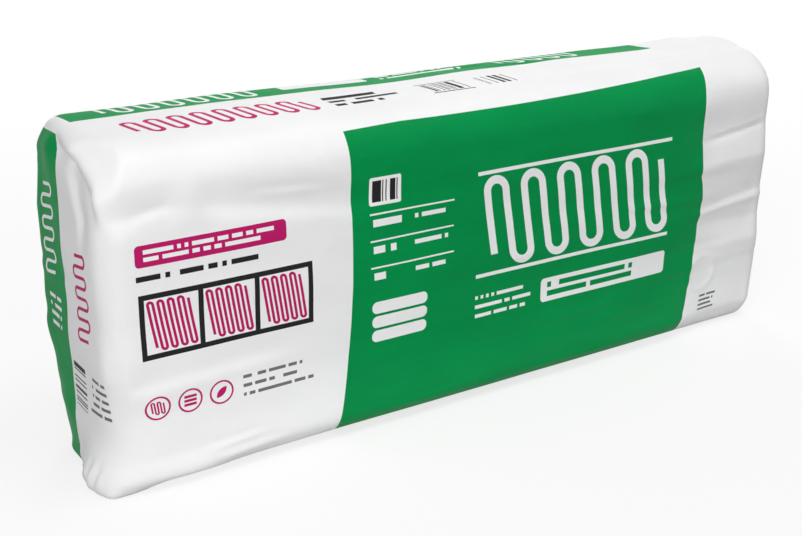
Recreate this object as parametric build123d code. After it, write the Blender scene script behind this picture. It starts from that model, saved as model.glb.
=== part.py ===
from build123d import *
import os

# Bagged pack of insulation batts, standing on its long narrow face.
# Frame: millimetres, +Z up, origin on the floor under the middle of the bag,
# X along the length, -Y the printed front, -X the end that shows with it.

# Driving dimensions of the pack
pack_length = 1495.0
pack_depth = 321.0
pack_height = 584.0

# Bulge of each long panel at its middle, above the line between its edges
side_bulge = 6.0
top_bulge = 3.0

# Rounding of the long edges over the compressed batts, fuller along the top of the front
long_edge_radius = 52.0
front_top_radius = 88.0

# Rounding of the film over the edges of the ends
end_edge_radius = 44.0

# Slanted fold of film over the top corner of the front and the left end:
# its fall down the end and its run along the front
fold_drop = 105.0
fold_run = 95.0

# Loose ear of film pulled out on the floor at the foot of the left end:
# its reach past the end, at most and at its front corner, that corner's distance from the front,
# its run along the front, its height, how far its upper edge laps into the end and tucks into
# the corner, and where its middle and its back lie across the depth
ear_reach = 20.0
ear_corner_reach = 8.0
ear_corner_gap = 13.0
ear_run = 400.0
ear_height = 140.0
ear_lap = 4.0
ear_tuck = 15.0
ear_middle_share = -0.21
ear_back_share = 0.23

# Film and the batts inside it
film_wall = 1.0
core_clearance = 0.8


def section_face(inset):
    """Section across the pack: flat base, bulged sides and top, rounded corners."""
    half_depth = pack_depth / 2 - inset
    half_base = half_depth - side_bulge
    base = inset
    top = pack_height - inset
    shoulder = top - top_bulge
    middle = (base + shoulder) / 2
    floor_line = Line((-half_base, base), (half_base, base))
    back = ThreePointArc((half_base, base), (half_depth, middle), (half_base, shoulder))
    lid = ThreePointArc((half_base, shoulder), (0, top), (-half_base, shoulder))
    front = ThreePointArc((-half_base, shoulder), (-half_depth, middle), (-half_base, base))
    section = make_face(floor_line + back + lid + front)
    front_top = section.vertices().sort_by_distance((-half_base, shoulder))[0]
    section = fillet(front_top, front_top_radius - inset)
    corners = [
        section.vertices().sort_by_distance(place)[0]
        for place in ((half_base, base), (half_base, shoulder), (-half_base, base))
    ]
    return fillet(corners, long_edge_radius - inset)


def corner_fold(inset):
    """Plane of the film drawn over the top corner of the front and the left end."""
    half_length = pack_length / 2
    half_depth = pack_depth / 2
    ear = Vector(-half_length, 0, pack_height)
    low = Vector(-half_length, -half_depth, pack_height - fold_drop)
    far = Vector(fold_run - half_length, -half_depth, pack_height)
    normal = (low - ear).cross(far - ear).normalized()
    return Plane(origin=ear - normal * inset, z_dir=normal)


def pack_form(inset):
    """The wrapped pack, drawn inset from the outside of the film."""
    form = extrude(Plane.YZ * section_face(inset), amount=pack_length / 2 - inset, both=True)
    end_edges = form.edges().filter_by(Axis.X, reverse=True)
    form = fillet(end_edges, end_edge_radius - inset)
    return split(form, bisect_by=corner_fold(inset), keep=Keep.BOTTOM)


def ear_plan(inset):
    """Outlines of the ear: on the floor, and where it runs into the pack."""
    end = inset - pack_length / 2
    front = inset - pack_depth / 2
    middle = ear_middle_share * pack_depth
    back = ear_back_share * pack_depth
    base_edge = front + side_bulge + long_edge_radius
    root = (end + end_edge_radius, back + end_edge_radius)
    far = end + ear_run
    on_floor = Polyline(
        (end - ear_corner_reach, front + ear_corner_gap),
        (end - ear_reach, middle),
        (end, back),
        root,
        (far, base_edge),
        close=True,
    )
    in_pack = Polyline(
        (end + ear_tuck, front + ear_tuck),
        (end + ear_lap, middle),
        (end + ear_lap, back),
        root,
        (far, front + ear_tuck),
        close=True,
    )
    return make_face(on_floor), make_face(in_pack)


def floor_ear(inset):
    """The ear, from its edge on the floor up into the end and the front."""
    on_floor, in_pack = ear_plan(inset)
    return loft([Pos(Z=inset) * on_floor, Pos(Z=ear_height) * in_pack], ruled=True)


# The ear reaches past one end, so the pack is set over to keep the whole bag centred
centred = Pos(X=ear_reach / 2)
outside = pack_form(0) + floor_ear(0)
inside = pack_form(film_wall) + floor_ear(film_wall)
film_bag = centred * (outside - inside)
batt_stack = centred * pack_form(film_wall + core_clearance)

os.makedirs("parts", exist_ok=True)
export_step(film_bag, "parts/film_bag.step")
export_step(batt_stack, "parts/batt_stack.step")
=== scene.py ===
import math

import bpy
import numpy as np
from mathutils import Euler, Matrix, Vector, noise
from mathutils.bvhtree import BVHTree


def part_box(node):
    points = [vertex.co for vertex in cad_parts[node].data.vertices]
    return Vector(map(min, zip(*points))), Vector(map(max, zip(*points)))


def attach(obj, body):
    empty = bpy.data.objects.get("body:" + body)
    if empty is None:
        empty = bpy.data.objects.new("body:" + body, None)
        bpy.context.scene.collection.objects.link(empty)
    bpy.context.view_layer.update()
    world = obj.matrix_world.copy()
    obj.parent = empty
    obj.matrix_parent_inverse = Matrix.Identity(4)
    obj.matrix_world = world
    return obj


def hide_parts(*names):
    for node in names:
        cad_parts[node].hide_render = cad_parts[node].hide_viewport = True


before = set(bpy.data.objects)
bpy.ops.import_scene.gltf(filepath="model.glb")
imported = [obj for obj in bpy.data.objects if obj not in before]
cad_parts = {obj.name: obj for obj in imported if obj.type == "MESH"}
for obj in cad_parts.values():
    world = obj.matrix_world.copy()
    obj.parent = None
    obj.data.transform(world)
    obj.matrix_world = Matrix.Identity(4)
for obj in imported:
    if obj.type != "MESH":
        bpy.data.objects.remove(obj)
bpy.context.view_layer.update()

# The pack in the frame, which is in metres: mm turns millimetres into them
mm = 0.001
bag_low, bag_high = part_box("film_bag")
core_low, core_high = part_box("batt_stack")
film_gap = bag_high.x - core_high.x
pack_left = core_low.x - film_gap
pack_right = bag_high.x
pack_middle = (pack_left + pack_right) / 2
pack_size = (pack_right - pack_left, bag_high.y - bag_low.y, bag_high.z)
pack_foot = np.array([pack_middle, 0, 0])
pack_centre = np.array([pack_middle, 0, bag_high.z / 2])

# Places on the pack below are in millimetres: x along it and y back, both from its middle, and z up from
# the floor. A pair whose name ends in ramp holds the places where a form sets in and where it is full.

# The mesh of the film: its cells before one subdivision, the rounding that they are spread round, and
# how near two corners lie when they are one
film_cell = 11.2 * mm
film_radius = 48 * mm
weld = 0.01 * mm

# The rounding along the top of the front: its radius, and its axis from the front and from the top
front_top_radius = 88.0
front_top_in = 94.0
front_top_down = 91.0
front_top_y = bag_low.y / mm + front_top_in
front_top_z = bag_high.z / mm - front_top_down

# The edges that creases start from: those of the ends and of the back
end_edge = 747
back_edge = 160

# The ear at the foot of the left end: how far and how often its edges are eased, and where
ear_ease = 0.5
ear_ease_passes = 40
ear_ease_ramp = (380, 640)
ear_ease_top = 210
ear_ease_fade = 60
ear_ease_foot_ramp = (1, 25)

# How far the eased ear is pulled out again: round which place across the depth, how wide to the front and
# to the back of it, how high, and where along the pack
ear_pull = 24
ear_pull_y = -88
ear_pull_front = 58
ear_pull_back = 44
ear_pull_top = 110
ear_pull_ramp = (640, 735)

# How squarely a face looks along its axis where its folds set in, and where they are full
facing_ramp = (0.25, 0.75)

# How the height of folds and creases fades in and out, as shares of their path, unless they say otherwise
soft_fade_shares = (0.3, 0.3)

# The hollow under the top edge of the front: path on x and z, depth, width above and below the path, fade,
# and the place where it is shallower
hollow_path = [(-740, 470), (-662, 480), (-596, 480), (-493, 463), (-307, 436), (-150, 440)]
hollow_depth = 8.5
hollow_widths = (42, 20)
hollow_fade_shares = (0.06, 0.35)
shallow_x = -592
shallow_width = 26
shallow_share = 0.6

# Folded edges of the front: path on x and z, rise, drop, widths of the crest, the hollow and the step
# between them, and fade
front_lips = (
    ([(-622, 474), (-655, 472), (-700, 462)], 2.0, 2.0, 9, 12, 4, soft_fade_shares),
    ([(-345, 471), (-420, 475), (-501, 479)], 1.6, 1.6, 8, 12, 4, soft_fade_shares),
    ([(-380, 194), (-506, 193), (-597, 189), (-735, 184)], 3.0, 3.0, 22, 30, 9, (0.3, 0.1)),
    ([(530, 424), (640, 436), (722, 448)], 2.4, 3.0, 8, 9, 3, (0.3, 0.1)),
)

# Pleats that the right end pulls across the front: the heights of their corners beside the panel and at
# the end, how far out each corner lies, the run from the one row to the other, where they set in, how they
# ease off at the end, and how much of them turns round it
pleats_at_panel = (60, 191, 247, 262, 269, 276, 372, 424, 530)
pleats_at_end = (60, 192, 241, 271, 285, 298, 375, 442, 530)
pleats_out = (-12, -1, -13, -9, -4, -11, 0, -12.5, 0)
pleat_run = (540, 708)
pleat_ramp = (470, 610)
pleat_ease_share = 0.65
pleat_ease_ramp = (695, 738)
pleat_turn_share = 0.25
pleat_turn_ramp = (10, 130)
pleat_softness = 2.5

# A round mark pressed into the front: its middle on x and z, its rim and its hollow
mark_x = 560
mark_z = 138
mark_radius = 38
mark_rim = 2.4
mark_rim_width = 5.5
mark_hollow = 1.4
mark_hollow_width = 28

# Fine wrinkles along the bottom edge of the front: path on x and z and height of each, and for all the
# widths of the crest, the hollow and the step, and where across the depth
wrinkles = (
    ([(-470, 64), (-540, 58), (-600, 55)], 2.6),
    ([(-430, 41), (-513, 39), (-585, 38)], 2.8),
    ([(-320, 16), (-495, 17), (-600, 20)], 2.6),
    ([(-40, 46), (-150, 40), (-280, 44)], 2.2),
    ([(330, 34), (190, 42), (60, 36)], 2.4),
    ([(540, 50), (450, 46), (360, 52)], 2.2),
)
wrinkle_widths = (10, 12, 4)
wrinkle_ramp = (60, 110)

# The bottom edge of the front is filled out towards the ear
fill_out = 13
fill_x = -610
fill_width = 110
fill_top = 64
fill_fade = 44
fill_ramp = (60, 120)

# The fold over the top corner of the left end: path on y and z, rise, drop, and widths as of other folds
fold_path = [
    (-150, 430), (-138, 472), (-124, 506), (-103, 523), (-79, 537),
    (-52, 550), (-7, 561), (26, 569), (56, 575),
]
fold_rise = 5.0
fold_drop = 12.0
fold_widths = (20, 32, 4.5)
fold_ramp = (620, 690)

# The valley that runs down from the fold: path on y and z, depth, widths on each hand, and fade
valley_path = [(-28, 552), (-46, 524), (-59, 504), (-70, 481), (-82, 458), (-78, 420), (-66, 390)]
valley_depth = 7.5
valley_widths = (9, 30)
valley_fade_shares = (0.1, 0.35)

# Pleats at the foot of the ear: height, pitch across the depth, lean, top, and span across the depth
foot_pleat = 4.5
foot_pleat_pitch = 23
foot_pleat_lean = 0.25
foot_pleat_top = 66
foot_pleat_top_fade = 40
foot_pleat_span = (-130, 20)
foot_pleat_span_fade = 30

# Creases that a tight edge draws into a face: how far beyond the edge they start, the ranges that their
# sizes are drawn from, how far off and how wide the valley lies beside the ridge, as shares of the ridge's
# width, fade, and the share of their height where they are light
crease_lead = 20
crease_scatter_shares = (-0.3, 0.3)
crease_run = (80, 230)
crease_drift = (-30, 30)
crease_bow = (-8, 8)
crease_height = (1.4, 3.4)
crease_valley_shares = (0.4, 1)
crease_width = (8, 15)
valley_gap_share = 1.6
valley_width_share = 1.2
crease_fade_shares = (0.05, 0.7)
light_crease_share = 0.5

# Long slack creases: the ranges that their sizes are drawn from, widths as of other folds, and fade
slack_run = (180, 460)
slack_slope = (-0.07, 0.07)
slack_sag = (-7, 7)
slack_height = (0.9, 1.9)
slack_widths = (14, 16, 5)
slack_fade_shares = (0.4, 0.4)

# The back edge of the left end is drawn in near the top and over the ear: how far, at which height, and
# over which spread
drawn_in = ((9, 545, 70), (4, 75, 45))
drawn_in_back_ramp = (40, 110)
drawn_in_end_ramp = (690, 735)

# The top is crowned at its right end
crown_height = 17
crown_width = 65
crown_ramp = (540, 700)

# Broad unevenness of the pressed wool under the film: height, hills along x, y and z in metres, and seed.
# It is less where the film is tight over an edge. All forms fade out at the floor.
uneven_waves = (
    (3.4, (0.30, 0.20, 0.12), 3.1),
    (1.5, (0.13, 0.09, 0.05), 17.7),
)
flat_ramp = (0.72, 0.97)
edge_uneven_share = 0.3
floor_ramp = (-2, 26)

# The batts: layers across the depth, the gap between them, their mesh and their waves, how far they are
# pushed inside the core's surface, and in how many passes
layer_count = 16
layer_gap = 1.5 * mm
layer_cell = 32 * mm
layer_radius = 7 * mm
layer_wave = 1.2 * mm
layer_wave_cell = (0.09, 0.02, 0.06)
batt_inset = 24 * mm
batt_inset_passes = 4

# Colours, linear
white_film = (0.87, 0.87, 0.875)
grey_film = (0.78, 0.78, 0.79)
green_ink = (0.0, 0.275, 0.068)
deep_green = (0.0, 0.21, 0.052)
berry_ink = (0.48, 0.012, 0.13)
dark_ink = (0.018, 0.017, 0.018)
grey_ink = (0.16, 0.16, 0.165)
wool_yellow = (0.72, 0.57, 0.21)
wool_pale = (0.86, 0.76, 0.45)

# Finish of the film: where its clouds and those of the ink set in and how strong they are, its gloss and
# roughness, what ink adds to the roughness, and its fine relief
film_cloud_start = 0.35
film_cloud_gain = 1.1
ink_cloud_start = 0.3
ink_cloud_gain = 1.6
film_ior = 1.2
film_specular = 0.3
film_rough = 0.28
film_rough_spread = 0.16
ink_rough = 0.14
crinkle_height = 2.2 * mm
crinkle_strength = 0.55
grain_height = 0.5 * mm
grain_strength = 0.3

# Finish of the wool
wool_rough = 0.95
fibre_height = 2 * mm
fibre_strength = 0.6

# Floor and surroundings, in metres: the floor's tone as it is seen and as it lights the pack, its glow,
# which is full from a reach outward, and the light of the surroundings on the pack
floor_reach = 14
floor_level = -0.3 * mm
floor_rough = 0.9
floor_tone = (0.9, 0.9, 0.9)
floor_return = (0.35, 0.35, 0.35)
floor_glow_share = 0.7
floor_glow_reach = 2.6
floor_glow_blend = 0.6
world_light = 0.14

# Lamps, in metres and watts: place, aim, width, height, power, and whether reflections show them
lamp_aim = (0, 0, 0.3)
lamps = {
    "key": ((-4.6, -4.5, 2.5), lamp_aim, 2.4, 2.4, 208, True),
    "top": ((0.2, -0.8, 2.9), lamp_aim, 3.0, 1.0, 47, True),
    "bounce": ((0, -0.25, 0.004), (0, -0.25, 1), 1.5, 0.12, 0.5, False),
    "fill": ((2.5, -3.0, 1.6), lamp_aim, 2.0, 2.0, 13, True),
    "back": ((2.4, 4.4, 2.4), lamp_aim, 2.0, 2.0, 130, False),
    "edge": ((-1.08, -0.82, 0.35), (-0.72, -0.14, 0.3), 0.12, 0.6, 0.9, False),
}

# Camera: place in millimetres from the pack's foot, lens and sensor in millimetres, and angles in degrees
camera_place = np.array([-1372.4, -1909.7, 1039.5])
camera_lens = 57.1
camera_sensor = 36
camera_down = 19.4
camera_turn = -33.7


# Meshes

def spread(length, cell, radius):
    """Places along one side of a box: where on its flat middle, and the angle round its edge."""
    flat = length / 2 - radius
    half = flat + radius * math.pi / 4
    count = 2 * max(1, round(half / cell))
    run = np.linspace(-half, half, count + 1)
    middle = np.clip(run, -flat, flat)
    return middle, (run - middle) / radius


def rounded_box(size, cell, radius):
    """Feet on the inner box, ways out from them, and quads of a rounded box with even cells."""
    spreads = [spread(length, cell, radius) for length in size]
    feet, ways, quads = [], [], []
    for axis in range(3):
        u, v = (axis + 1) % 3, (axis + 2) % 3
        for sign in (-1, 1):
            start = sum(len(block) for block in feet)
            (u_at, u_angle), (v_at, v_angle) = spreads[u], spreads[v]
            rows, columns = len(u_at), len(v_at)
            foot = np.zeros((rows, columns, 3))
            way = np.zeros((rows, columns, 3))
            foot[..., axis] = sign * (size[axis] / 2 - radius)
            foot[..., u] = u_at[:, None]
            foot[..., v] = v_at[None, :]
            way[..., axis] = sign
            way[..., u] = np.tan(u_angle)[:, None]
            way[..., v] = np.tan(v_angle)[None, :]
            way /= np.linalg.norm(way, axis=2)[..., None]
            feet.append(foot.reshape(-1, 3))
            ways.append(way.reshape(-1, 3))
            index = start + np.arange(rows * columns).reshape(rows, columns)
            quad = np.stack([index[:-1, :-1], index[1:, :-1], index[1:, 1:], index[:-1, 1:]], axis=-1)
            quads.append((quad if sign > 0 else quad[..., ::-1]).reshape(-1, 4))
    feet, ways, quads = np.concatenate(feet), np.concatenate(ways), np.concatenate(quads)
    keys = np.round((feet + ways * radius) / weld).astype(np.int64)
    _, first, back = np.unique(keys, axis=0, return_index=True, return_inverse=True)
    return feet[first], ways[first], back.reshape(-1)[quads]


def surface(node):
    """A CAD node's surface, to measure against."""
    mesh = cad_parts[node].data
    return BVHTree.FromPolygons([v.co for v in mesh.vertices], [p.vertices for p in mesh.polygons])


def new_mesh(name, points, quads):
    mesh = bpy.data.meshes.new(name)
    mesh.from_pydata([tuple(point) for point in points], [], quads.tolist())
    mesh.update()
    mesh.shade_smooth()
    return mesh


def new_piece(name, mesh):
    piece = bpy.data.objects.new(name, mesh)
    bpy.context.scene.collection.objects.link(piece)
    return piece


def get_points(mesh):
    points = np.zeros(len(mesh.vertices) * 3)
    mesh.vertices.foreach_get("co", points)
    return points.reshape(-1, 3)


def set_points(mesh, points):
    mesh.vertices.foreach_set("co", points.astype(np.float32).ravel())
    mesh.update()


def get_normals(mesh):
    normals = np.zeros(len(mesh.vertices) * 3)
    mesh.vertices.foreach_get("normal", normals)
    return normals.reshape(-1, 3)


def pack_places(mesh):
    """Each point's place on the pack, in millimetres."""
    return (get_points(mesh) - pack_foot) / mm


def subdivide(piece):
    """One subdivision, applied."""
    modifier = piece.modifiers.new("subdivision", "SUBSURF")
    modifier.levels = 1
    made = bpy.data.meshes.new_from_object(piece.evaluated_get(bpy.context.evaluated_depsgraph_get()))
    made.name = piece.name
    piece.modifiers.remove(modifier)
    piece.data = made


def relax(mesh, weights, passes):
    """Moves each corner towards the middle of its neighbours, as far as its weight says."""
    points = get_points(mesh)
    edges = np.zeros(len(mesh.edges) * 2, int)
    mesh.edges.foreach_get("vertices", edges)
    start, end = edges.reshape(-1, 2).T
    count = np.bincount(edges, minlength=len(points))[:, None]
    for _ in range(passes):
        total = np.zeros_like(points)
        np.add.at(total, start, points[end])
        np.add.at(total, end, points[start])
        points += (total / count - points) * weights[:, None]
    set_points(mesh, points)


# Heights of single forms

def ramp(value, low, high):
    """0 below low, 1 above high, smooth between them."""
    share = np.clip((value - low) / (high - low), 0, 1)
    return share * share * (3 - 2 * share)


def bell(value, middle, width):
    """1 at the middle, falling off softly over the width on each side."""
    return np.exp(-((value - middle) / width) ** 2)


def waves(points, cell, seed):
    """Soft seeded noise at each point, about -1 to 1, with hills as wide as the cell along each axis."""
    shifted = points / np.array(cell) + seed
    return np.array([noise.noise(Vector(place)) for place in shifted])


def curve_through(path, count=60):
    """Points of a smooth curve that starts and ends with the path and follows its corners."""
    path = np.array(path, float)
    padded = np.vstack([2 * path[0] - path[1], path, 2 * path[-1] - path[-2]])
    run = np.linspace(0, len(path) - 1, count)
    made = []
    for place in run:
        index = min(int(place), len(path) - 2)
        t = place - index
        a, b, c, d = padded[index:index + 4]
        made.append(0.5 * (2 * b + (c - a) * t + (2 * a - 5 * b + 4 * c - d) * t**2
                           + (3 * b - a - 3 * c + d) * t**3))
    return np.array(made)


def along_curve(places, path):
    """For places on a face: signed distance from a curve, and share of the way along it."""
    curve = curve_through(path)
    steps = curve[1:] - curve[:-1]
    best = np.full(len(places), np.inf)
    side = np.zeros(len(places))
    share = np.zeros(len(places))
    for index, step in enumerate(steps):
        offset = places - curve[index]
        t = np.clip(offset @ step / (step @ step), 0, 1)
        gap = np.linalg.norm(offset - t[:, None] * step, axis=1)
        nearer = gap < best
        best[nearer] = gap[nearer]
        cross = step[0] * offset[:, 1] - step[1] * offset[:, 0]
        side[nearer] = np.sign(cross)[nearer]
        share[nearer] = ((index + t) / len(steps))[nearer]
    return best * side, share


def fade_ends(share, fade_shares):
    """1 along the middle of a path, falling to 0 at its ends."""
    return ramp(share, 0, fade_shares[0]) * ramp(1 - share, 0, fade_shares[1])


def crease(places, path, ridge, valley, width, fade_shares):
    """Height of a crease: a ridge along the path, and a valley beside it on the path's right hand."""
    gap, share = along_curve(places, path)
    crest = bell(gap, 0, width)
    hollow = bell(gap, -valley_gap_share * width, valley_width_share * width)
    return (ridge * crest - valley * hollow) * fade_ends(share, fade_shares)


def dent(places, path, depth, widths, fade_shares):
    """Height of a hollow along a path, with its own width on the left and the right hand of the path."""
    gap, share = along_curve(places, path)
    width = np.where(gap > 0, *widths)
    return -depth * bell(gap, 0, width) * fade_ends(share, fade_shares)


def lip(places, path, rise, drop, crest, hollow, edge, fade_shares=soft_fade_shares):
    """Height of a folded edge: up along the path, and dropping off short on the path's right hand."""
    gap, share = along_curve(places, path)
    step = 0.5 + 0.5 * np.tanh(gap / edge)
    up = rise * bell(gap, 0, crest) * step
    down = drop * bell(gap, 0, hollow) * (1 - step)
    return (up - down) * fade_ends(share, fade_shares)


def pleated(z, share, low_knots, high_knots, heights):
    """Height of a pleated profile: its corners lie on the low knots at share 0, on the high ones at 1."""
    offsets = np.linspace(-pleat_softness, pleat_softness, 5)
    total = np.zeros(len(z))
    for offset in offsets:
        height = np.full(len(z), float(heights[0]))
        for index in range(len(heights) - 1):
            start = low_knots[index] + (high_knots[index] - low_knots[index]) * share
            end = low_knots[index + 1] + (high_knots[index + 1] - low_knots[index + 1]) * share
            t = (z + offset - start) / (end - start)
            rise = heights[index + 1] - heights[index]
            height = np.where(t > 0, heights[index] + rise * np.minimum(t, 1), height)
        total += height
    return total / len(offsets)


def pull_creases(along, across, edge, inward, span, count, seed):
    """Height of creases that a tight edge draws into a face: they start at the edge and fade inward."""
    chance = np.random.default_rng(seed)
    places = np.stack([along, across], axis=1)
    total = np.zeros(len(along))
    low, high = span
    for level in np.linspace(low, high, count):
        start = level + chance.uniform(*crease_scatter_shares) * (high - low) / count
        run = chance.uniform(*crease_run)
        end = start + chance.uniform(*crease_drift)
        middle = (start + end) / 2 + chance.uniform(*crease_bow)
        path = [
            (edge - inward * crease_lead, start),
            (edge + inward * run / 2, middle),
            (edge + inward * run, end),
        ]
        height = chance.uniform(*crease_height)
        valley = height * chance.uniform(*crease_valley_shares)
        width = chance.uniform(*crease_width)
        total += crease(places, path, height, valley, width, crease_fade_shares)
    return total


def slack_creases(along, across, low, high, count, seed):
    """Height of long shallow creases scattered over a face, nearly in line with it."""
    chance = np.random.default_rng(seed)
    places = np.stack([along, across], axis=1)
    total = np.zeros(len(along))
    for _ in range(count):
        start = chance.uniform(low, high)
        run = chance.uniform(*slack_run)
        rise = chance.uniform(*slack_slope) * run
        sag = chance.uniform(*slack_sag)
        path = [start, start + (run / 2, rise / 2 + sag), start + (run, rise)]
        height = chance.uniform(*slack_height)
        total += lip(places, path, height, height, *slack_widths, slack_fade_shares)
    return total


# Film

def film_mesh():
    """The film drawn over the pack, each corner on the outside of the CAD bag."""
    feet, ways, quads = rounded_box(pack_size, film_cell, film_radius)
    feet = feet + pack_centre
    bag = surface("film_bag")
    reach = 2 * film_radius
    points = []
    for foot, way in zip(feet, ways):
        hit = bag.ray_cast(Vector(foot + way * reach), Vector(-way), reach)[0]
        points.append(hit if hit is not None else foot + way * film_radius)
    return new_mesh("film_wrap", points, quads)


def ease_foot(mesh):
    """Softens the ear's edges where it runs into the end and the front, and pulls it out again."""
    x, _, z = pack_places(mesh).T
    weights = ear_ease * ramp(-x, *ear_ease_ramp) * ramp(ear_ease_top - z, 0, ear_ease_fade)
    relax(mesh, weights * ramp(z, *ear_ease_foot_ramp), ear_ease_passes)
    x, y, z = pack_places(mesh).T
    width = np.where(y > ear_pull_y, ear_pull_back, ear_pull_front)
    pull = ear_pull * bell(y, ear_pull_y, width) * (1 - ramp(z, 0, ear_pull_top)) * ramp(-x, *ear_pull_ramp)
    points = get_points(mesh)
    points[:, 0] -= pull * mm
    set_points(mesh, points)


def mark_print(mesh):
    """Keeps each point's place on the pack and round its front, so that the print moves with the film."""
    place = pack_places(mesh)
    attribute = mesh.attributes.new("print_at", "FLOAT_VECTOR", "POINT")
    attribute.data.foreach_set("vector", place.astype(np.float32).ravel())
    over = place[:, 1] - front_top_y
    up = place[:, 2] - front_top_z
    turn = np.clip(np.arctan2(up, -over), 0, math.pi / 2)
    girth = front_top_z + np.minimum(up, 0) + turn * front_top_radius + np.maximum(over, 0)
    attribute = mesh.attributes.new("girth", "FLOAT", "POINT")
    attribute.data.foreach_set("value", girth.astype(np.float32))


def front_folds(x, z):
    """Hollow, folded edges, pressed mark and slack creases of the front."""
    front = np.stack([x, z], axis=1)
    shallow = 1 - shallow_share * bell(x, shallow_x, shallow_width)
    out = shallow * dent(front, hollow_path, hollow_depth, hollow_widths, hollow_fade_shares)
    for row in front_lips:
        out += lip(front, *row)
    from_mark = np.hypot(x - mark_x, z - mark_z)
    out += mark_rim * bell(from_mark, mark_radius, mark_rim_width)
    out -= mark_hollow * bell(from_mark, 0, mark_hollow_width)
    return out + slack_creases(x, z, low=(-330, 70), high=(420, 470), count=9, seed=21)


def right_pleats(x, z):
    """Pleats that the right end pulls across the front."""
    start, end = pleat_run
    share = np.clip((x - start) / (end - start), 0, 1)
    eased = 1 - pleat_ease_share * ramp(x, *pleat_ease_ramp)
    return ramp(x, *pleat_ramp) * eased * pleated(z, share, pleats_at_panel, pleats_at_end, pleats_out)


def bottom_edge(x, y, z):
    """Wrinkles of the bottom edge of the front, and its filling out towards the ear."""
    front = np.stack([x, z], axis=1)
    out = fill_out * bell(x, fill_x, fill_width) * ramp(fill_top - z, 0, fill_fade) * ramp(-y, *fill_ramp)
    for path, height in wrinkles:
        out += lip(front, path, height, height, *wrinkle_widths) * ramp(-y, *wrinkle_ramp)
    return out


def corner_fold(x, y, z):
    """The fold over the top corner of the left end, and the drawing in of its back edge."""
    left_end = np.stack([y, z], axis=1)
    out = ramp(-x, *fold_ramp) * lip(left_end, fold_path, fold_rise, fold_drop, *fold_widths)
    for depth, level, height in drawn_in:
        drawn = depth * bell(z, level, height)
        out -= drawn * ramp(y, *drawn_in_back_ramp) * ramp(-x, *drawn_in_end_ramp)
    return out


def left_folds(y, z):
    """The valley under the fold, the pleats at the foot of the ear, and creases from the back edge."""
    left_end = np.stack([y, z], axis=1)
    out = dent(left_end, valley_path, valley_depth, valley_widths, valley_fade_shares)
    first, last = foot_pleat_span
    foot = ramp(foot_pleat_top - z, 0, foot_pleat_top_fade)
    foot *= ramp(y - first, 0, foot_pleat_span_fade) * ramp(last - y, 0, foot_pleat_span_fade)
    out += foot * foot_pleat * np.sin((y + foot_pleat_lean * z) * 2 * math.pi / foot_pleat_pitch)
    return out + light_crease_share * pull_creases(y, z, back_edge, -1, span=(90, 500), count=4, seed=15)


def back_folds(x, z):
    """Creases of the back."""
    out = pull_creases(x, z, end_edge, -1, span=(80, 520), count=6, seed=11)
    out += pull_creases(x, z, -end_edge, 1, span=(90, 510), count=5, seed=12)
    return out + slack_creases(x, z, low=(-700, 60), high=(420, 520), count=14, seed=22)


def top_folds(x, y):
    """Crown and creases of the top."""
    out = crown_height * bell(y, 0, crown_width) * ramp(x, *crown_ramp)
    out += light_crease_share * pull_creases(x, y, end_edge, -1, span=(-110, 120), count=3, seed=14)
    return out + slack_creases(x, y, low=(-620, -60), high=(400, 130), count=5, seed=23)


def shape_film(mesh):
    """Folds, creases and dents of the film, in millimetres out from the pack."""
    points = get_points(mesh)
    normals = get_normals(mesh)
    x, y, z = pack_places(mesh).T
    on_right, on_back, on_top = ramp(normals, *facing_ramp).T
    on_left, on_front, _ = ramp(-normals, *facing_ramp).T
    round_right = on_front + pleat_turn_share * on_right * ramp(-y, *pleat_turn_ramp) * (1 - on_front)
    out = on_front * front_folds(x, z)
    out += round_right * right_pleats(x, z)
    out += bottom_edge(x, y, z)
    out += corner_fold(x, y, z)
    out += on_left * left_folds(y, z)
    out += on_back * back_folds(x, z)
    out += on_right * pull_creases(y, z, back_edge, -1, span=(90, 510), count=5, seed=13)
    out += on_top * top_folds(x, y)
    flat = ramp(np.abs(normals).max(axis=1), *flat_ramp)
    tight = edge_uneven_share + (1 - edge_uneven_share) * flat
    for height, cell, seed in uneven_waves:
        out += height * waves(points, cell, seed) * tight
    out *= ramp(z, *floor_ramp)
    points += normals * out[:, None] * mm
    points[:, 2] = np.maximum(points[:, 2], 0)
    set_points(mesh, points)


def make_film():
    film = new_piece("film_wrap", film_mesh())
    ease_foot(film.data)
    mark_print(film.data)
    subdivide(film)
    shape_film(film.data)
    film.data.materials.append(film_material())
    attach(film, "root")
    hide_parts("film_bag")


# Batts

def batt_points():
    """Points and quads of the pressed layers of wool, side by side across the depth."""
    thickness = pack_size[1] / layer_count
    size = (pack_size[0], thickness - layer_gap, pack_size[2])
    all_points, all_quads = [], []
    for layer in range(layer_count):
        feet, ways, quads = rounded_box(size, layer_cell, layer_radius)
        middle = np.array([pack_middle, (layer + 0.5) * thickness - pack_size[1] / 2, pack_size[2] / 2])
        points = feet + ways * layer_radius + middle
        points += ways * (waves(points, layer_wave_cell, layer) * layer_wave)[:, None]
        all_quads.append(quads + sum(len(block) for block in all_points))
        all_points.append(points)
    return np.concatenate(all_points), np.concatenate(all_quads)


def make_batts():
    """The pressed layers of wool, pushed inside the core's surface so that the film clears them."""
    core = surface("batt_stack")
    points, quads = batt_points()
    for _ in range(batt_inset_passes):
        for index, point in enumerate(points):
            near, way, _, _ = core.find_nearest(Vector(point))
            depth = (near - Vector(point)).dot(way)
            if depth < batt_inset:
                points[index] = point - np.array(way) * (batt_inset - depth)
    batts = new_piece("batts", new_mesh("batts", points, quads))
    batts.data.materials.append(wool_material())
    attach(batts, "root")
    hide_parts("batt_stack")


# Shader fields

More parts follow.
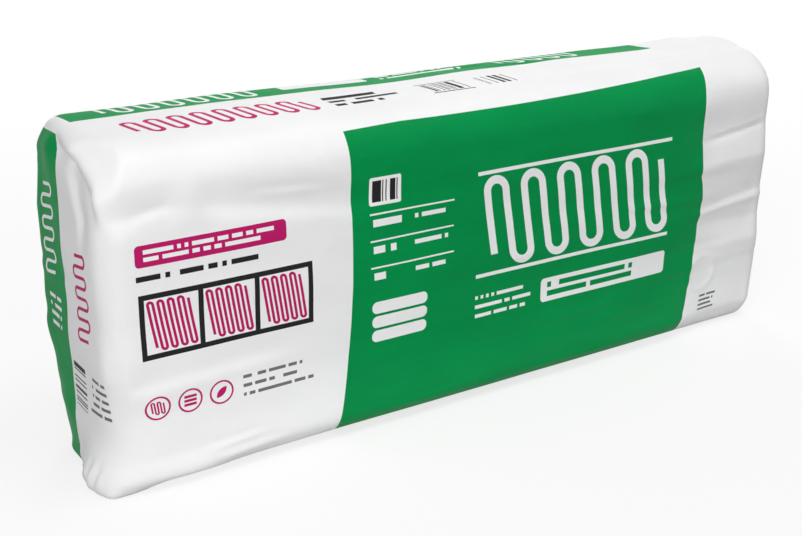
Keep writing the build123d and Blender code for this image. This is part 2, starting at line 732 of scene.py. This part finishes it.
class Field:
    """A number that varies over a surface, made of math nodes."""

    def __init__(self, tree, socket):
        self.tree = tree
        self.socket = socket

    def math(self, operation, *others):
        node = self.tree.nodes.new("ShaderNodeMath")
        node.operation = operation
        for slot, value in zip(node.inputs, (self, *others)):
            if isinstance(value, Field):
                self.tree.links.new(value.socket, slot)
            else:
                slot.default_value = value
        return Field(self.tree, node.outputs[0])

    def __add__(self, other):
        return self.math("ADD", other)

    def __sub__(self, other):
        return self.math("SUBTRACT", other)

    def __mul__(self, other):
        return self.math("MULTIPLY", other)

    def __truediv__(self, other):
        return self.math("DIVIDE", other)

    def __gt__(self, other):
        return self.math("GREATER_THAN", other)

    def __lt__(self, other):
        return self.math("LESS_THAN", other)

    def __or__(self, other):
        return self.math("MAXIMUM", other)

    def __and__(self, other):
        return self.math("MULTIPLY", other)

    def size(self):
        return self.math("ABSOLUTE")

    def floor(self):
        return self.math("FLOOR")

    def bounce(self, top):
        return self.math("PINGPONG", top)

    def root(self):
        return self.math("SQRT")

    def within(self, low, high):
        return (self > low) & (self < high)

    def above(self, start):
        """How far the field is above a start, and 0 below it."""
        return (self - start) | 0.0

    def below(self, start):
        """How far the field is below a start, and 0 above it."""
        return (self * -1.0 + start) | 0.0

    def hump(self, middle, half):
        """1 at the middle, falling to 0 at half a width to each side."""
        share = (self - middle) / half
        return (share * share).below(1.0)


def any_of(masks):
    """1 where one of the masks is 1."""
    total = masks[0]
    for mask in masks[1:]:
        total = total | mask
    return total


def attribute_node(tree, name):
    node = tree.nodes.new("ShaderNodeAttribute")
    node.attribute_name = name
    return node


def object_place(tree):
    return tree.nodes.new("ShaderNodeTexCoord").outputs["Object"]


def noise_field(tree, place, scale, detail, roughness=0.5, stretch=(1, 1, 1)):
    """Noise over a place socket, as a field from 0 to 1."""
    mapping = tree.nodes.new("ShaderNodeMapping")
    mapping.inputs["Scale"].default_value = stretch
    tree.links.new(place, mapping.inputs["Vector"])
    node = tree.nodes.new("ShaderNodeTexNoise")
    node.inputs["Scale"].default_value = scale
    node.inputs["Detail"].default_value = detail
    node.inputs["Roughness"].default_value = roughness
    tree.links.new(mapping.outputs[0], node.inputs["Vector"])
    return Field(tree, node.outputs["Fac"])


def chance_along(place):
    """A chance from 0 to 1 for each value of a field."""
    tree = place.tree
    node = tree.nodes.new("ShaderNodeTexWhiteNoise")
    node.noise_dimensions = "1D"
    tree.links.new(place.socket, node.inputs["W"])
    return Field(tree, node.outputs["Value"])


def chance_over(across, up):
    """A chance from 0 to 1 for each pair of values of two fields."""
    tree = across.tree
    place = tree.nodes.new("ShaderNodeCombineXYZ")
    tree.links.new(across.socket, place.inputs[0])
    tree.links.new(up.socket, place.inputs[1])
    node = tree.nodes.new("ShaderNodeTexWhiteNoise")
    node.noise_dimensions = "2D"
    tree.links.new(place.outputs[0], node.inputs["Vector"])
    return Field(tree, node.outputs["Value"])


def mix_colour(tree, mask, under, over):
    """The colour under, and the colour over it where the mask is 1."""
    node = tree.nodes.new("ShaderNodeMix")
    node.data_type = "RGBA"
    tree.links.new(mask.socket, node.inputs["Factor"])
    for slot, colour in ((node.inputs[6], under), (node.inputs[7], over)):
        if isinstance(colour, bpy.types.NodeSocket):
            tree.links.new(colour, slot)
        else:
            slot.default_value = (*colour, 1)
    return node.outputs[2]


def bump(tree, height, distance, strength, normal=None):
    node = tree.nodes.new("ShaderNodeBump")
    node.inputs["Strength"].default_value = strength
    node.inputs["Distance"].default_value = distance
    tree.links.new(height.socket, node.inputs["Height"])
    if normal is not None:
        tree.links.new(normal, node.inputs["Normal"])
    return node.outputs["Normal"]


# Motifs of the print, in millimetres on one face: a pair holds where a motif starts and ends

# Shares of a motif's sizes, the spread of rows over the noise, half the step between two whole numbers,
# and a length too small to see
sign_lean_share = 0.16
code_gap_share = 0.48
word_gap_share = 0.2
word_step_share = 0.9
ragged_share = 0.3
row_spread = 7.3
half_step = 0.5
sliver = 0.01


def bar(u, v, across, up):
    return u.within(*across) & v.within(*up)


def rounded_bar(u, v, across, up, radius):
    """A bar with round corners."""
    over = []
    for field, (low, high) in ((u, across), (v, up)):
        over.append((field - (low + high) / 2).size().above((high - low) / 2 - radius))
    return (over[0] * over[0] + over[1] * over[1]) < radius * radius


def ring(u, v, middle_u, middle_v, radius, stroke):
    """A round line."""
    across, up = u - middle_u, v - middle_v
    return ((across * across + up * up).root() - radius).size() < stroke / 2


def disc(u, v, middle_u, middle_v, radius):
    across, up = u - middle_u, v - middle_v
    return (across * across + up * up) < radius * radius


def batt_sign(u, v, left, middle, pitch, loops, half, stroke):
    """The drawing sign for a wool batt: one line that runs to and fro in rounded loops, an even number."""
    length = loops * pitch / 2
    across = v - middle
    run = u - left + across * sign_lean_share
    turned = run - pitch / 4 + (across < 0) * (pitch / 2)
    past = across.size().above(half - pitch / 4)
    near = turned.bounce(pitch / 2)
    gap = ((near * near + past * past).root() - pitch / 4).size()
    tails = ((across < 0) & (run < pitch / 4)) | ((across > 0) & (run > length - pitch / 4))
    kept = run.within(-stroke / 2, length + stroke / 2) - (tails & (past > sliver))
    return (gap < stroke / 2) & (kept > half_step)


def code_bars(u, v, across, up, width):
    """A block of upright bars of uneven width."""
    return (chance_along((u / width).floor()) > code_gap_share) & bar(u, v, across, up)


def lines(u, v, left, longest, top, pitch, thick, rows, seed):
    """Rows of broken rules with ragged ends."""
    step = word_step_share * thick
    down = (v - top) * -1.0
    row = (down / pitch).floor()
    cell = ((u - left) / step).floor()
    ragged = chance_along(row + seed) * (ragged_share * longest / step)
    end = (ragged + (1 - ragged_share) * longest / step).floor()
    words = (chance_over(cell, row * row_spread + seed) > word_gap_share) | (cell < half_step)
    in_row = (down - row * pitch < thick) & row.within(-half_step, rows - half_step)
    return (cell > -half_step) & (cell < end) & in_row & words


def wall_of_studs(x, z, left, low, bay, bays, height, timber):
    """A stud wall seen from the front: its timber, and the wool between the studs."""
    wool_start_share = 0.16
    wool_pitch_share = 0.17
    wool_stroke_share = 0.05
    wool_gap = 5
    right = left + bays * bay
    top = low + height
    plate = (left - timber / 2, right + timber / 2)
    in_wall = bar(x, z, (left - timber, right + timber), (low, top))
    studs = ((x - left).bounce(bay / 2) < timber / 2) & in_wall
    plates = bar(x, z, plate, (low - timber, low)) | bar(x, z, plate, (top, top + timber))
    in_bay = (x - left).math("FLOORED_MODULO", bay)
    wool = batt_sign(in_bay, z, left=wool_start_share * bay, middle=low + height / 2,
                     pitch=wool_pitch_share * bay, loops=8, half=height / 2 - wool_gap,
                     stroke=wool_stroke_share * bay)
    return studs | plates, wool & x.within(left, right)


def icons(x, z, left, middle, pitch, radius):
    """Three round signs: wool, layers and a leaf."""
    layer_half = 11
    layer_thick = 5
    layer_lows = (-10, -2.5, 5)
    leaf_offset = 7
    leaf_radius = 16
    second = left + pitch
    third = left + 2 * pitch
    signs = [ring(x, z, place, middle, radius, stroke=3.4) for place in (left, second, third)]
    signs.append(batt_sign(x, z, left=left - 10, middle=middle, pitch=10, loops=4, half=11, stroke=3))
    for low in layer_lows:
        up = (middle + low, middle + low + layer_thick)
        signs.append(bar(x, z, (second - layer_half, second + layer_half), up))
    leaf = disc(x, z, third - leaf_offset, middle + leaf_offset, leaf_radius)
    signs.append(leaf & disc(x, z, third + leaf_offset, middle - leaf_offset, leaf_radius))
    return any_of(signs)


# Print of each face

# The green panel of the front. Its right side leans in below, swells and flares at the top, its left side
# bows, and its top, measured round the front, slopes and dips.
panel_right = 535
panel_lean = -0.09
panel_lean_z = 250
panel_swell = 10
panel_swell_z = 302
panel_swell_half = 50
panel_flare = 0.0022
panel_flare_z = 490
panel_left = -303
panel_bow_z = 386
panel_low_bow = -0.000215
panel_high_bow = -0.0001
panel_top = 564
panel_slope = 0.031
panel_dip = -10
panel_dip_x = 190
panel_dip_half = 380
panel_back = -60

# The green stripes along the top and down the left end, whose edge turns with the end's rounding
top_stripe_run = (-706, 567)
top_stripe_front = 43
top_stripe_low = 470
end_stripe_start = -728
end_stripe_x = -745
end_stripe_front = 18
end_stripe_turn = 1.5
end_stripe_top = 571

# Where the print of each face ends: across the depth, round the front, up and along
front_print_y = -100
front_print_girth = 560
top_print_z = 540
top_print_girth = 520
end_print_x = -735


def green_areas(x, y, z, girth):
    """Panel of the front, and the stripes along the top and down the end."""
    flare = z.above(panel_flare_z)
    right = z.below(panel_lean_z) * panel_lean + flare * flare * panel_flare
    right = right + z.hump(panel_swell_z, panel_swell_half) * panel_swell + panel_right
    under = z.below(panel_bow_z)
    over = z.above(panel_bow_z)
    left = under * under * panel_low_bow + over * over * panel_high_bow + panel_left
    top = x * panel_slope + x.hump(panel_dip_x, panel_dip_half) * panel_dip + panel_top
    panel = (x > left) & (x < right) & (girth < top) & (y < panel_back)
    top_stripe = x.within(*top_stripe_run) & (y > top_stripe_front) & (z > top_stripe_low)
    end_stripe = (x < end_stripe_start) & (y - (x - end_stripe_x) * end_stripe_turn > end_stripe_front)
    return any_of([panel, top_stripe, end_stripe & (z < end_stripe_top)])


def panel_white(x, z):
    """White on the green panel: a batt between two rails, a band, a small table and a stack."""
    rail_x = (-40, 442)
    rail_lows = (440, 245)
    rail_thick = 7
    rule_x = (-268, -92)
    rule_lows = (404, 356, 308)
    rule_thick = 3
    stack_x = (-266, -150)
    stack_lows = (170, 197, 224)
    stack_thick = 22
    white = [
        batt_sign(x, z, left=-8, middle=346, pitch=86, loops=10, half=82, stroke=16),
        rounded_bar(x, z, (118, 442), (164, 212), radius=8),
        rounded_bar(x, z, (-268, -204), (420, 470), radius=4),
        lines(x, z, left=-40, longest=138, top=210, pitch=18, thick=7, rows=3, seed=5.0),
        lines(x, z, left=-262, longest=64, top=396, pitch=48, thick=13, rows=3, seed=2.0),
        lines(x, z, left=-176, longest=82, top=394, pitch=48, thick=8, rows=3, seed=9.0),
    ]
    white += [bar(x, z, rail_x, (low, low + rail_thick)) for low in rail_lows]
    white += [bar(x, z, rule_x, (low, low + rule_thick)) for low in rule_lows]
    white += [rounded_bar(x, z, stack_x, (low, low + stack_thick), radius=10) for low in stack_lows]
    return any_of(white)


def top_white(x, y):
    """White on the stripe of the top: two batts, a band and lines."""
    return any_of([
        batt_sign(x, y, left=-640, middle=96, pitch=46, loops=12, half=34, stroke=8),
        rounded_bar(x, y, (-300, -120), (78, 112), radius=6),
        lines(x, y, left=-90, longest=220, top=110, pitch=20, thick=9, rows=2, seed=4.0),
        batt_sign(x, y, left=190, middle=96, pitch=46, loops=8, half=34, stroke=8),
    ])


def end_white(y, z):
    """White on the stripe of the end: a batt and lines."""
    sign = batt_sign(z, y, left=330, middle=74, pitch=38, loops=8, half=26, stroke=6)
    return sign | lines(y, z, left=44, longest=62, top=290, pitch=16, thick=7, rows=4, seed=8.0)


def top_dark(x, top):
    """Dark on the white of the top: a heading, and two codes, one between rules."""
    code_up = (-76, -20)
    rule_x = (-82, 10)
    return any_of([
        lines(x, top, left=-280, longest=150, top=-18, pitch=24, thick=12, rows=3, seed=16.0),
        code_bars(x, top, (-76, 4), code_up, width=2.6),
        code_bars(x, top, (46, 112), code_up, width=2.6),
        bar(x, top, rule_x, (-16, -13)),
        bar(x, top, rule_x, (-83, -80)),
    ])


def print_layers(x, y, z, girth):
    """The print: (mask, ink) in the order that they are laid on the film, with None for the green ink."""
    on_front = (y < front_print_y) & (girth < front_print_girth)
    on_top = (z > top_print_z) & (girth > top_print_girth)
    on_end = x < end_print_x
    top = girth + front_top_y - front_top_z - front_top_radius * math.pi / 2

    # White on the green, and green lines in the panel's white band
    white = [panel_white(x, z) & on_front, top_white(x, y) & on_top, end_white(y, z) & on_end]
    in_band = lines(x, z, left=134, longest=290, top=203, pitch=18, thick=11, rows=2, seed=27.0)

    # On the white of the front
    timber, wool = wall_of_studs(x, z, left=-688, low=246, bay=100, bays=3, height=92, timber=9)
    heading = rounded_bar(x, z, (-694, -430), (392, 428), radius=7)
    in_heading = lines(x, z, left=-680, longest=236, top=420, pitch=12, thick=7, rows=2, seed=6.0)
    subheading = lines(x, z, left=-694, longest=250, top=378, pitch=30, thick=9, rows=1, seed=14.0)
    signs = icons(x, z, left=-672, middle=152, pitch=56, radius=20)
    notes = lines(x, z, left=-520, longest=150, top=172, pitch=16, thick=6, rows=3, seed=11.0)
    side_notes = lines(x, z, left=566, longest=60, top=84, pitch=11, thick=5, rows=4, seed=31.0)
    tag_code = code_bars(x, z, (-262, -210), (426, 464), width=2.2)

    # On the white of the top and the end
    top_sign = batt_sign(x, top, left=-640, middle=-46, pitch=40, loops=16, half=34, stroke=8)
    end_sign = batt_sign(z, y, left=252, middle=-62, pitch=36, loops=8, half=26, stroke=6)
    end_code = code_bars(z, y, (118, 196), (-48, 4), width=2.6)
    end_notes = lines(y, z, left=-124, longest=64, top=196, pitch=15, thick=6, rows=5, seed=21.0)

    berry = [any_of([wool, heading, signs]) & on_front, top_sign & on_top, end_sign & on_end]
    dark = [any_of([timber, subheading, tag_code]) & on_front, top_dark(x, top) & on_top, end_code & on_end]
    grey = [(notes | side_notes) & on_front, end_notes & on_end]
    return [
        (green_areas(x, y, z, girth), None),
        (any_of(white), white_film),
        (any_of(berry), berry_ink),
        (in_heading & on_front, white_film),
        (in_band & on_front, None),
        (any_of(dark), dark_ink),
        (any_of(grey), grey_ink),
    ]


# Materials

def new_material(name):
    material = bpy.data.materials.new(name)
    material.use_nodes = True
    tree = material.node_tree
    return material, tree, tree.nodes["Principled BSDF"]


def film_material():
    """White film with its print, soft gloss, a little cloudy, finely crinkled."""
    material, tree, shader = new_material("film")
    split = tree.nodes.new("ShaderNodeSeparateXYZ")
    tree.links.new(attribute_node(tree, "print_at").outputs["Vector"], split.inputs[0])
    x, y, z = (Field(tree, split.outputs[index]) for index in range(3))
    girth = Field(tree, attribute_node(tree, "girth").outputs["Fac"])
    place = object_place(tree)

    # Colour
    cloud = noise_field(tree, place, scale=7, detail=4, roughness=0.6)
    colour = mix_colour(tree, (cloud - film_cloud_start) * film_cloud_gain, white_film, grey_film)
    ink_cloud = noise_field(tree, place, scale=9, detail=5, roughness=0.65, stretch=(0.5, 1, 1.4))
    green = mix_colour(tree, (ink_cloud - ink_cloud_start) * ink_cloud_gain, green_ink, deep_green)
    layers = print_layers(x, y, z, girth)
    for mask, ink in layers:
        colour = mix_colour(tree, mask, colour, green if ink is None else ink)
    tree.links.new(colour, shader.inputs["Base Color"])

    # Gloss
    shader.inputs["IOR"].default_value = film_ior
    shader.inputs["Specular IOR Level"].default_value = film_specular
    printed = any_of([mask for mask, _ in layers])
    patches = noise_field(tree, place, scale=11, detail=3)
    rough = patches * film_rough_spread + film_rough + printed * ink_rough
    tree.links.new(rough.socket, shader.inputs["Roughness"])

    # Fine relief
    crinkle = noise_field(tree, place, scale=26, detail=3, roughness=0.55, stretch=(0.35, 0.6, 1))
    grain = noise_field(tree, place, scale=70, detail=2)
    normal = bump(tree, crinkle, crinkle_height, crinkle_strength)
    normal = bump(tree, grain, grain_height, grain_strength, normal)
    tree.links.new(normal, shader.inputs["Normal"])
    return material


def wool_material():
    """Matt, fibrous wool."""
    material, tree, shader = new_material("wool")
    fibre = noise_field(tree, object_place(tree), scale=60, detail=4, roughness=0.7, stretch=(0.3, 1, 1))
    colour = mix_colour(tree, fibre, wool_yellow, wool_pale)
    tree.links.new(colour, shader.inputs["Base Color"])
    shader.inputs["Roughness"].default_value = wool_rough
    tree.links.new(bump(tree, fibre, fibre_height, fibre_strength), shader.inputs["Normal"])
    return material


# Floor, light and camera

def rays(tree, *kinds):
    """1 for rays of one of these kinds."""
    node = tree.nodes.new("ShaderNodeLightPath")
    return any_of([Field(tree, node.outputs[f"Is {kind} Ray"]) for kind in kinds])


def floor_material():
    """A pale floor with a glow where it is seen, less of it near the pack, so that the shadow stays."""
    material, tree, shader = new_material("floor")
    shader.inputs["Roughness"].default_value = floor_rough
    tone = mix_colour(tree, rays(tree, "Diffuse"), floor_tone, floor_return)
    tree.links.new(tone, shader.inputs["Base Color"])
    away = tree.nodes.new("ShaderNodeVectorMath")
    away.operation = "LENGTH"
    tree.links.new(object_place(tree), away.inputs[0])
    distance = Field(tree, away.outputs["Value"])
    fade = distance.math("SMOOTH_MIN", floor_glow_reach, floor_glow_blend) / floor_glow_reach
    shown = rays(tree, "Camera", "Glossy", "Transmission")
    weight = shown * (fade * (1 - floor_glow_share) + floor_glow_share)
    glow = tree.nodes.new("ShaderNodeEmission")
    mixed = tree.nodes.new("ShaderNodeMixShader")
    tree.links.new(weight.socket, mixed.inputs[0])
    tree.links.new(shader.outputs[0], mixed.inputs[1])
    tree.links.new(glow.outputs[0], mixed.inputs[2])
    tree.links.new(mixed.outputs[0], tree.nodes["Material Output"].inputs["Surface"])
    return material


def make_floor():
    corners = [
        (side * floor_reach, back * floor_reach, floor_level)
        for side, back in ((-1, -1), (1, -1), (1, 1), (-1, 1))
    ]
    floor = new_piece("floor", new_mesh("floor", corners, np.array([[0, 1, 2, 3]])))
    floor.data.materials.append(floor_material())


def make_surroundings():
    """White where they are seen, and dim as a light on the pack."""
    world = bpy.data.worlds.new("world")
    bpy.context.scene.world = world
    world.use_nodes = True
    tree = world.node_tree
    background = tree.nodes["Background"]
    strength = rays(tree, "Camera", "Glossy", "Transmission") * (1 - world_light) + world_light
    background.inputs["Color"].default_value = (1, 1, 1, 1)
    tree.links.new(strength.socket, background.inputs["Strength"])


def soft_light(name, place, aim, width, height, power, reflected):
    """An area lamp that the camera doesn't see, and that shows in reflections or not."""
    data = bpy.data.lights.new(name, "AREA")
    data.shape = "RECTANGLE"
    data.size = width
    data.size_y = height
    data.energy = power
    light = bpy.data.objects.new(name, data)
    light.visible_camera = False
    light.visible_glossy = reflected
    bpy.context.scene.collection.objects.link(light)
    light.location = place
    light.rotation_euler = (Vector(aim) - Vector(place)).to_track_quat("-Z", "Y").to_euler()


def make_camera():
    data = bpy.data.cameras.new("camera")
    data.sensor_width = camera_sensor
    data.lens = camera_lens
    camera = bpy.data.objects.new("camera", data)
    bpy.context.scene.collection.objects.link(camera)
    camera.location = Vector(pack_foot + camera_place * mm)
    camera.rotation_euler = Euler((math.radians(90 - camera_down), 0, math.radians(camera_turn)))
    bpy.context.scene.camera = camera


make_film()
make_batts()
make_floor()
make_surroundings()
for lamp, settings in lamps.items():
    soft_light(lamp, *settings)
make_camera()
bpy.context.scene.view_settings.view_transform = "Standard"
